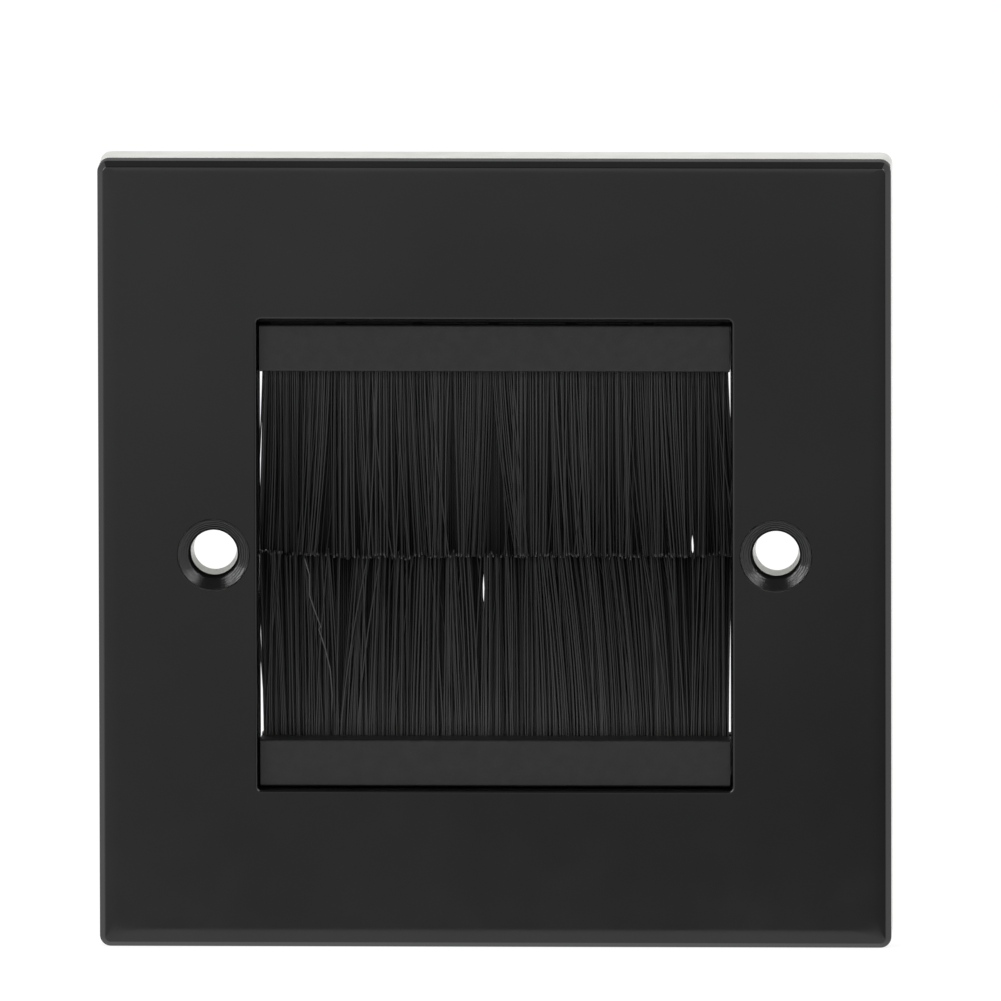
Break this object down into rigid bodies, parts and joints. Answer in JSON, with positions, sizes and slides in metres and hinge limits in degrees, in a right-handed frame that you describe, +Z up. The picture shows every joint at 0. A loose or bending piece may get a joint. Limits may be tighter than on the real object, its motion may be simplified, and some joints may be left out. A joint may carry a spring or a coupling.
{
  "type": "brush wall plate",
  "caption": "Square cable-entry wall plate: a black front on a white rear frame, with facing bristle strips across its opening.",
  "frame": {"origin": "middle of the plate, on the surface of the wall that it is fixed to", "axes": "+Y into the wall, +Z up, +X to the right seen from the front"},
  "size_m": [0.085, 0.0091, 0.085],
  "materials": {
    "gloss_black": "gloss",
    "white_plastic": "satin",
    "satin_black": "fine satin texture",
    "channel_metal": "mill finish",
    "wire_metal": "drawn",
    "filament": "satin filament"
  },
  "bodies": {
    "root": {"front_plate": "gloss_black", "back_frame": "white_plastic", "upper_brush_holder": "satin_black", "lower_brush_holder": "satin_black", "upper_brush_channel": "channel_metal", "lower_brush_channel": "channel_metal", "upper_core_wire": "wire_metal", "lower_core_wire": "wire_metal", "upper_bristles": "filament", "lower_bristles": "filament"}
  },
  "joints": []
}
